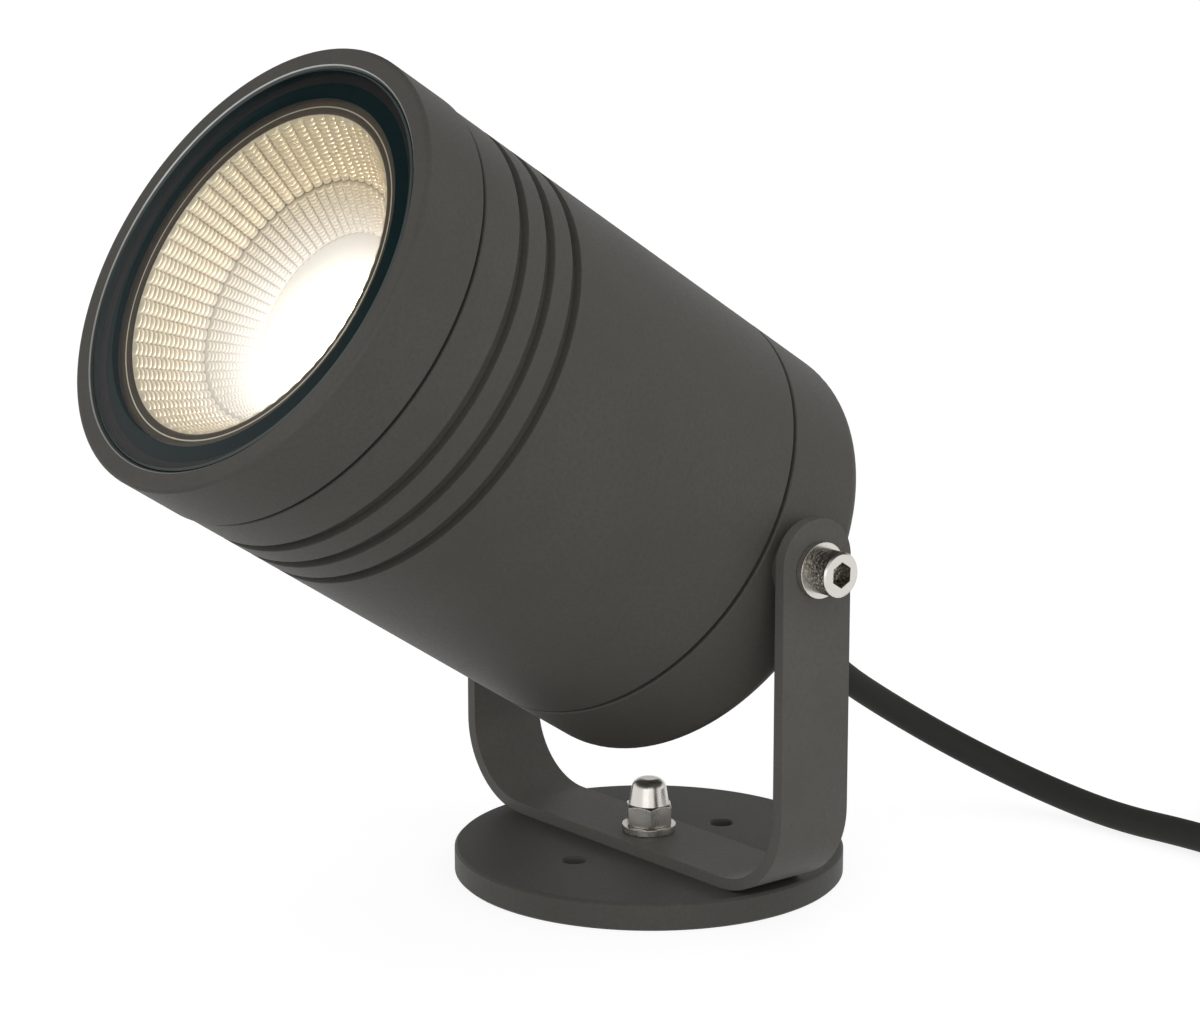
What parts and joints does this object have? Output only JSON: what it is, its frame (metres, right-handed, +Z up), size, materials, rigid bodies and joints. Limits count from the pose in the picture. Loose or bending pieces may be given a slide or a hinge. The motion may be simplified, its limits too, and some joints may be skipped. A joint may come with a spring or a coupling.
{
  "type": "spotlight",
  "caption": "Outdoor spotlight: a round lamp head with glass front and fluted reflector tilts in a U bracket that swivels on a round base plate, with a rear supply cable.",
  "frame": {"origin": "middle of the base plate's underside, where the swivel axis meets the ground", "axes": "+Z up along the swivel axis; X along the tilt axis through the bracket's arms; the head points towards -Y and leans up"},
  "size_m": [0.2132, 0.3365, 0.1953],
  "materials": {
    "coated_steel": "dark grey powder coat, fine matt texture",
    "coated_casting": "dark grey powder coat, fine matt texture",
    "bare_aluminium": "machined",
    "stainless": "bright stainless",
    "zinc_screws": "zinc plated",
    "toughened_glass": "clear and glossy, black printed border",
    "seal_rubber": "matt",
    "metallised_plastic": "vacuum metallised, fluted",
    "gap_pad": "matt",
    "board_white": "white solder mask",
    "phosphor": "glowing phosphor layer",
    "white_plastic": "moulded",
    "black_plastic": "moulded, satin",
    "core_insulation": "smooth wire insulation, one colour a core",
    "cable_rubber": "black rubber sheath, matt",
    "tinned_copper": "tinned"
  },
  "bodies": {
    "base": {"base_plate": "coated_steel", "base_bolt": "stainless", "base_washer": "stainless", "dome_nut": "stainless"},
    "bracket": {"bracket": "coated_steel", "cable_run": "cable_rubber", "cable_coil": "cable_rubber", "cable_tie": "black_plastic", "cable_cores": "core_insulation", "core_ferrules": "tinned_copper"},
    "head": {"body_tube": "coated_casting", "front_ring": "coated_casting", "glass": "toughened_glass", "glass_gasket": "seal_rubber", "front_o_ring": "seal_rubber", "rear_o_ring": "seal_rubber", "reflector": "metallised_plastic", "heat_plate": "bare_aluminium", "heat_plate_screws": "zinc_screws", "thermal_pad": "gap_pad", "led_board": "board_white", "led_emitter": "phosphor", "led_holder": "white_plastic", "led_holder_screws": "zinc_screws", "led_leads": "core_insulation", "driver": "black_plastic", "driver_screws": "zinc_screws", "terminal_block": "white_plastic", "mains_leads": "core_insulation", "rear_cap": "coated_casting", "rear_cap_screws": "stainless", "pivot_screws": "stainless", "pivot_washers": "stainless", "gland_body": "black_plastic", "gland_washer": "seal_rubber", "gland_seal": "seal_rubber", "gland_nut": "black_plastic", "cable_tail": "cable_rubber"}
  },
  "joints": [
    {"name": "base_swivel", "type": "hinge", "parent": "base", "child": "bracket", "pos_m": [0, 0, 0], "axis": [0, 0, 1], "range_deg": [-180, 180]},
    {"name": "head_tilt", "type": "hinge", "parent": "bracket", "child": "head", "pos_m": [0, 0, 0.0822], "axis": [-1, 0, 0], "range_deg": [-42, 46], "deforming": ["cable_run"]}
  ]
}
